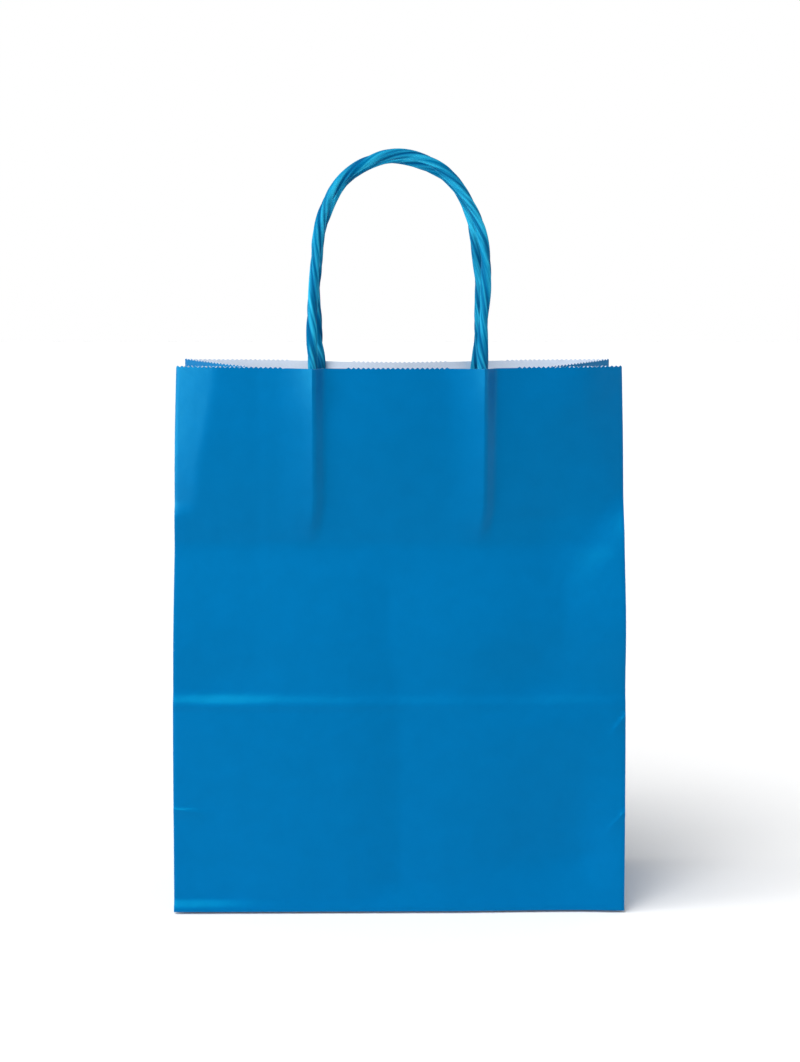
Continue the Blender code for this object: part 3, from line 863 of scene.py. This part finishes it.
FRONT_ARCH = (
    (-33.9, 218.7), (-34.3, 228.6), (-34.1, 238.3), (-33.6, 248.1), (-32.9, 257.9),
    (-31.8, 267.8), (-29.7, 277.5), (-25.6, 286.3), (-18.7, 293.4), (-9.9, 298.0),
    (-0.3, 299.7), (8.9, 298.1), (16.9, 293.3), (23.5, 286.1), (28.6, 277.3),
    (31.8, 267.8), (33.1, 258.0), (33.1, 248.2), (32.5, 238.3), (31.9, 228.5),
    (32.0, 218.7),
)
BACK_ARCH = (
    (-32.0, 217.0), (-33.1, 225.0), (-33.5, 234.5), (-33.9, 244.8), (-33.5, 255.2),
    (-32.4, 266.0), (-29.8, 276.4), (-25.4, 286.1), (-18.6, 294.0), (-9.8, 298.6),
    (0.0, 299.8), (9.9, 297.9), (18.8, 293.2), (25.7, 286.0), (29.8, 276.7),
    (32.0, 266.2), (33.2, 255.8), (33.9, 245.7), (34.1, 235.7), (33.7, 225.6),
    (32.8, 217.0),
)
# Pleats of the rolled strip: angle round the cord, drift a metre, depth, half width, phase
STRAND_PLEATS = (
    (0.30, 16.0, 0.26 * MM, 0.50, 0.4),
    (1.15, -13.0, 0.16 * MM, 0.34, 2.1),
    (2.35, 19.0, 0.24 * MM, 0.46, 3.7),
    (3.60, -17.0, 0.26 * MM, 0.54, 1.2),
    (4.45, 14.0, 0.16 * MM, 0.32, 4.4),
    (5.55, 11.0, 0.22 * MM, 0.42, 0.9),
)


def smooth_route(points, step):
    """Even places along a smooth curve through the points."""
    points = np.asarray(points, float)
    padded = np.vstack([2 * points[0] - points[1], points, 2 * points[-1] - points[-2]])
    share = np.linspace(0, 1, 24, endpoint=False)[:, None]
    fine = []
    for a, b, c, d in zip(padded, padded[1:], padded[2:], padded[3:]):
        fine.append(
            0.5
            * (
                2 * b
                + (c - a) * share
                + (2 * a - 5 * b + 4 * c - d) * share**2
                + (3 * b - a - 3 * c + d) * share**3
            )
        )
    fine = np.vstack([*fine, points[-1:]])
    length = np.append(0, np.cumsum(np.linalg.norm(np.diff(fine, axis=0), axis=1)))
    places = np.linspace(0, length[-1], round(length[-1] / step) + 1)
    return places, np.stack([np.interp(places, length, fine[:, k]) for k in range(3)], 1)


def glued_end(side, across):
    """Places up one pressed cord end, from its foot to just under the mouth."""
    heights = np.linspace(SHEET_HEIGHT - END_LENGTH, END_TOP, 10)
    relief, beside = (front_relief, CORD_BESIDE) if side == FRONT else (back_relief, 0)
    middle = across - beside
    off = np.linspace(-0.95, 0.95, 11)[:, None] * PRESSED_WIDE
    thick = PRESSED_HALF * np.sqrt(1 - (off / PRESSED_WIDE) ** 2)
    out = np.min(relief(middle + off, heights[None, :]) - thick, axis=0) - PAPER - END_GAP
    places = wall_place(side, np.full_like(heights, middle), heights, out)
    return places + np.array([0, SHIFT, 0])


def cord_route(side, arch, mouth_y, tilt):
    """Even places from one glued end over the arch to the other."""
    arch = np.array(arch) * MM
    rises = arch[:, 1] - arch[0, 1]
    free = np.stack([arch[:, 0], mouth_y + tilt * rises, arch[:, 1]], 1)
    ends = RIDGES if side == FRONT else BACK_RIDGES
    left = glued_end(side, ends[0])
    right = glued_end(side, ends[1])[::-1]
    return smooth_route(np.vstack([left, free, right]), CORD_STEP)


def wrapped(angle):
    """How far an angle is from 0, the shorter way round."""
    return np.abs(np.mod(angle + np.pi, 2 * np.pi) - np.pi)


def cord_section(angle, along, seed):
    """Radius of the two strands' outline, and how deep in a pleat or the groove a place lies, for the
    cord material's painted shade.
    """
    radius = STRAND_OFFSET * np.abs(np.cos(angle))
    radius = radius + np.sqrt(CORD_RADIUS**2 - (STRAND_OFFSET * np.sin(angle)) ** 2)
    # The groove between the strands, then the pleats, which wander and fade along the cord
    between = np.minimum(wrapped(angle - np.pi / 2), wrapped(angle + np.pi / 2))
    depth = 0.30 * MM * np.exp(-((between / 0.42) ** 2))
    for start, drift, deep, half, phase in STRAND_PLEATS:
        wander = 0.25 * np.sin(along / (11 * MM) + phase + seed)
        swing = np.sin(2 * np.pi * (along / (47 * MM) + phase / 7))
        off = wrapped(angle - start - wander - drift * 9 * MM * swing)
        fade = np.clip(0.55 + 0.6 * np.sin(along / (5.3 * MM) + 3 * phase + seed), 0, 1)
        depth = depth + deep * fade * hump(off, 0, half)
    lumps = 0.13 * MM * np.sin(along / (5.6 * MM) + seed) + 0.05 * MM * np.sin(
        along / (1.9 * MM) + 2 * angle
    )
    return radius - depth + lumps, np.clip(depth / (0.32 * MM), 0, 1)


def make_cord(side, arch, mouth_y, tilt, seed, material):
    """One handle: its section swept along its route, turning as it goes."""
    name = {FRONT: "front_handle", BACK: "back_handle"}[side]
    along, centre = cord_route(side, arch, mouth_y, tilt)
    tangent = np.gradient(centre, axis=0)
    tangent /= np.linalg.norm(tangent, axis=1, keepdims=True)
    outward = np.array([0.0, side, 0.0]) - tangent * (tangent[:, 1:2] * side)
    outward /= np.linalg.norm(outward, axis=1, keepdims=True)
    beside = np.cross(tangent, outward)
    cord = laid_grid(f"{name}_cord", np.arange(CORD_SIDES + 1.0), np.arange(float(len(along))))
    grid = coordinates(cord.data)
    ring = np.rint(grid[:, 1]).astype(int)
    strand = np.pi / 2 + 2 * np.pi * grid[:, 0] / CORD_SIDES
    radius, crease = cord_section(strand, along[ring], seed)
    turn = strand + np.pi * along[ring] / HALF_TWIST + seed
    from_end = np.minimum(along, along[-1] - along)[ring]
    pressed = 1 - rise(from_end, END_LENGTH - 9 * MM, END_LENGTH + 1 * MM)
    flat = 1 + pressed * (PRESSED_HALF / CORD_RADIUS - 1)
    wide = 1 + pressed * PRESSED_SPREAD
    places = centre[ring] + (radius * wide * np.cos(turn))[:, None] * beside[ring]
    places += (radius * flat * np.sin(turn))[:, None] * outward[ring]
    map_flat(cord, "strand", np.stack([strand * CORD_RADIUS, along[ring]], 1))
    # How deep each place lies in a pleat or the groove, which the cord's material turns into painted
    # shade
    layer = cord.data.attributes.new("crease", "FLOAT", "POINT")
    layer.data.foreach_set("value", crease)
    set_coordinates(cord.data, places)
    tidy_mesh(cord, 60)
    bpy.context.view_layer.objects.active = cord
    bpy.ops.object.mode_set(mode="EDIT")
    bpy.ops.mesh.select_all(action="SELECT")
    bpy.ops.mesh.fill_holes(sides=0)
    bpy.ops.mesh.normals_make_consistent(inside=False)
    bpy.ops.object.mode_set(mode="OBJECT")
    cord.data.materials.append(material)
    place_piece(cord, name)


# The patches glued over the cord ends


def make_patch(side, white):
    """White paper on the wall's inside, raised where it covers the two pressed cord ends."""
    name = {FRONT: "front_handle_patch", BACK: "back_handle_patch"}[side]
    columns = np.linspace(-PATCH_HALF_WIDTH, PATCH_HALF_WIDTH, 101)
    rows = np.linspace(PATCH_TOP - PATCH_HEIGHT, PATCH_TOP, 45)
    patch = laid_grid(f"{name}_paper", columns, rows)
    flat = coordinates(patch.data)
    across, up = flat[:, 0], flat[:, 1]
    ends = np.array(RIDGES) - CORD_BESIDE if side == FRONT else BACK_RIDGES
    over = sum(np.sqrt(hump(across, end, 6.5 * MM)) for end in ends)
    over = over * rise(up, PATCH_TOP - END_LENGTH, PATCH_TOP - END_LENGTH + 8 * MM)
    relief = front_relief(across, up) if side == FRONT else back_relief(across, up)
    inner_face = relief - PAPER - PATCH_GAP - PATCH_OVER_CORD * over
    map_flat(patch, "flat_sheet", flat)
    places = wall_place(side, across, up, inner_face) + np.array([0, SHIFT, 0])
    set_coordinates(patch.data, places)
    if side == BACK:
        bpy.context.view_layer.objects.active = patch
        bpy.ops.object.mode_set(mode="EDIT")
        bpy.ops.mesh.select_all(action="SELECT")
        bpy.ops.mesh.flip_normals()
        bpy.ops.object.mode_set(mode="OBJECT")
    apply_modifier(patch, "SOLIDIFY", thickness=PAPER, offset=-1)
    tidy_mesh(patch)
    patch.data.materials.append(white)
    place_piece(patch, name)


# Camera, lights and floor


def place_camera():
    bpy.ops.object.camera_add(location=CAMERA_PLACE)
    camera = bpy.context.object
    turned = (
        Matrix.Rotation(math.radians(CAMERA_YAW), 3, "Z")
        @ Matrix.Rotation(math.radians(90 + CAMERA_PITCH), 3, "X")
        @ Matrix.Rotation(math.radians(CAMERA_ROLL), 3, "Z")
    )
    camera.rotation_euler = turned.to_euler()
    camera.data.lens = CAMERA_LENS
    camera.data.sensor_width = 36
    camera.data.clip_end = 50
    bpy.context.scene.camera = camera


def add_softbox(name, place, target, size, power):
    """A round lamp near the bag, turned towards a target."""
    bpy.ops.object.light_add(type="AREA", location=place)
    lamp = bpy.context.object
    lamp.name = name
    lamp.rotation_euler = (Vector(target) - Vector(place)).to_track_quat("-Z", "Y").to_euler()
    lamp.data.shape = "DISK"
    lamp.data.size = size
    lamp.data.energy = power


def add_far_softbox(name, azimuth, elevation, angle, strength):
    """A far softbox, seen from the bag as a disc of this angle. Azimuth 0 is the front."""
    a, e = math.radians(azimuth), math.radians(elevation)
    towards = Vector((math.sin(a) * math.cos(e), -math.cos(a) * math.cos(e), math.sin(e)))
    bpy.ops.object.light_add(type="SUN", location=3 * towards)
    lamp = bpy.context.object
    lamp.name = name
    lamp.rotation_euler = towards.to_track_quat("Z", "Y").to_euler()
    lamp.data.angle = math.radians(angle)
    lamp.data.energy = strength


def light_world():
    """A white room, dimmer for the bag than for the eye and its reflections."""
    world = bpy.data.worlds.new("studio")
    bpy.context.scene.world = world
    world.use_nodes = True
    tree = world.node_tree
    tree.nodes.clear()
    path = add(tree, "ShaderNodeLightPath").outputs
    seen = path["Is Camera Ray"]
    for ray in ("Is Glossy Ray", "Is Transmission Ray"):
        seen = add(tree, "ShaderNodeMath", {0: seen, 1: path[ray]}, operation="MAXIMUM").outputs[0]
    white = (1, 1, 1, 1)
    dim = add(tree, "ShaderNodeBackground", {"Color": white, "Strength": 0.41})
    bright = add(tree, "ShaderNodeBackground", {"Color": white, "Strength": 1.0})
    mixed = add(
        tree, "ShaderNodeMixShader", {0: seen, 1: dim.outputs[0], 2: bright.outputs[0]}
    )
    add(tree, "ShaderNodeOutputWorld", {"Surface": mixed.outputs[0]})


def lay_floor():
    """A white studio floor, lifted a little for the camera alone."""
    bpy.ops.mesh.primitive_plane_add(size=12, location=(0, 0, 0))
    floor = bpy.context.object
    floor.name = "studio_floor"
    material, tree, shader = new_material("studio_floor_white", 0.9, 0.0)
    shader.inputs["Base Color"].default_value = linear("#FCFCFC")
    path = add(tree, "ShaderNodeLightPath")
    lift = add(
        tree, "ShaderNodeMath", {0: path.outputs["Is Camera Ray"], 1: 0.05}, operation="MULTIPLY"
    )
    shader.inputs["Emission Color"].default_value = (1, 1, 1, 1)
    tree.links.new(lift.outputs[0], shader.inputs["Emission Strength"])
    floor.data.materials.append(material)


def main():
    place_camera()
    blue, white, cord_blue = printed_kraft_paper(), unprinted_kraft_paper(), twisted_paper_cord()
    make_bag(blue, white)
    make_cord(FRONT, FRONT_ARCH, mouth_y=-40.5 * MM, tilt=0.06, seed=0.0, material=cord_blue)
    make_cord(BACK, BACK_ARCH, mouth_y=28.0 * MM, tilt=-0.10, seed=1.9, material=cord_blue)
    make_patch(FRONT, white)
    make_patch(BACK, white)
    lay_floor()
    light_world()
    add_far_softbox("key_light_left", azimuth=-54, elevation=58, angle=42, strength=1.28)
    add_far_softbox("key_light_front", azimuth=-22, elevation=43, angle=32, strength=1.22)
    add_softbox("side_softbox", (-1.15, -0.42, 0.24), target=(0, 0, 0.12), size=0.5, power=6.5)
    bpy.context.scene.view_settings.view_transform = "Standard"


main()
